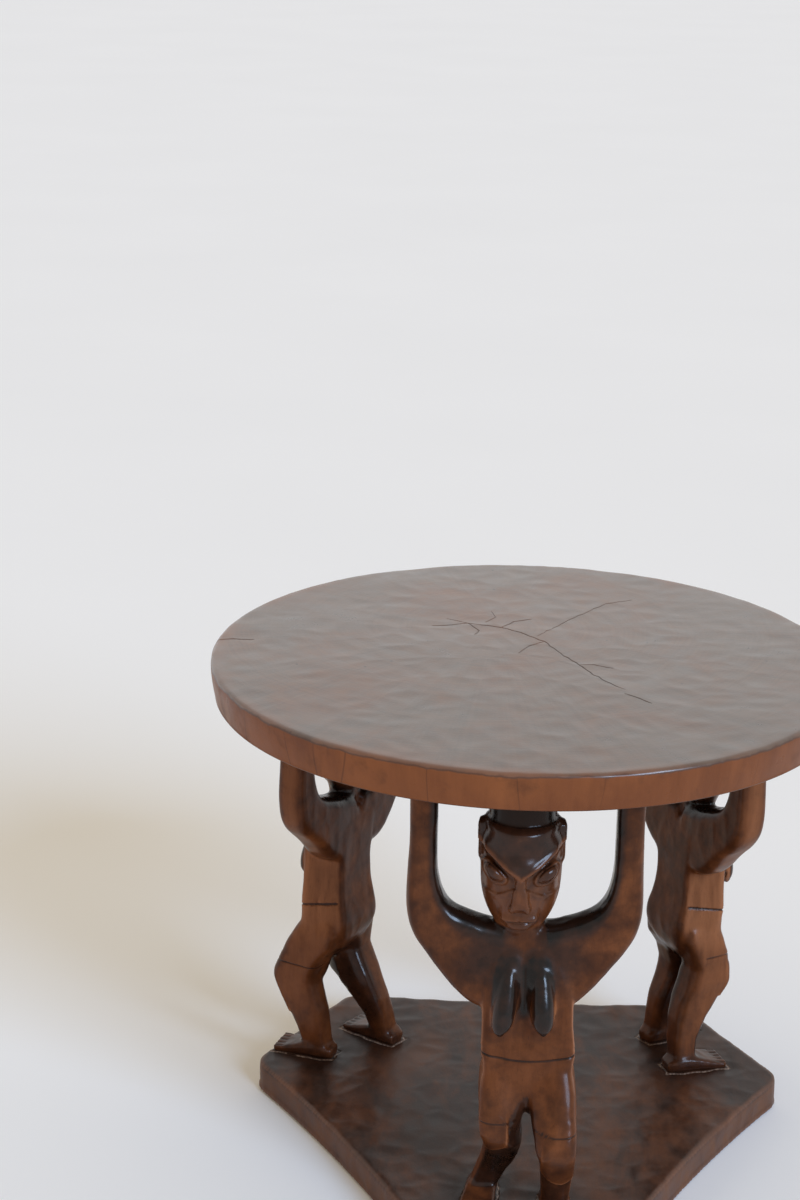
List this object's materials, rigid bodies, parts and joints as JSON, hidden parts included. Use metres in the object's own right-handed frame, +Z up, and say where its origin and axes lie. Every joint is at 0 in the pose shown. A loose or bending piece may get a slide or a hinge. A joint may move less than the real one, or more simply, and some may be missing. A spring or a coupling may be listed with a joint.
{
  "type": "carved side table",
  "caption": "Round low wooden table: a thick top carried on the raised arms and heads of carved standing figures, on a flat slab with cut corners and scooped sides.",
  "frame": {"origin": "on the floor, straight under the middle of the round top, which is also the bottom centre of the whole box", "axes": "+Z up; the front figure faces -Y; the other figures face 120 degrees to either side, the right one towards +X and +Y, the left one towards -X and +Y"},
  "size_m": [0.5999, 0.6, 0.495],
  "materials": {
    "top_wood": "end grain, waxed, worn dark",
    "base_wood": "end grain, adzed and stained dark",
    "figure_wood": "carved, stained red-brown and waxed",
    "peg_wood": "bare turned hardwood"
  },
  "bodies": {
    "root": {"table_top": "top_wood", "base_slab": "base_wood", "front_figure": "figure_wood", "right_figure": "figure_wood", "left_figure": "figure_wood", "forearm_pegs": "peg_wood", "head_pegs": "peg_wood", "foot_pegs": "peg_wood"}
  },
  "joints": []
}
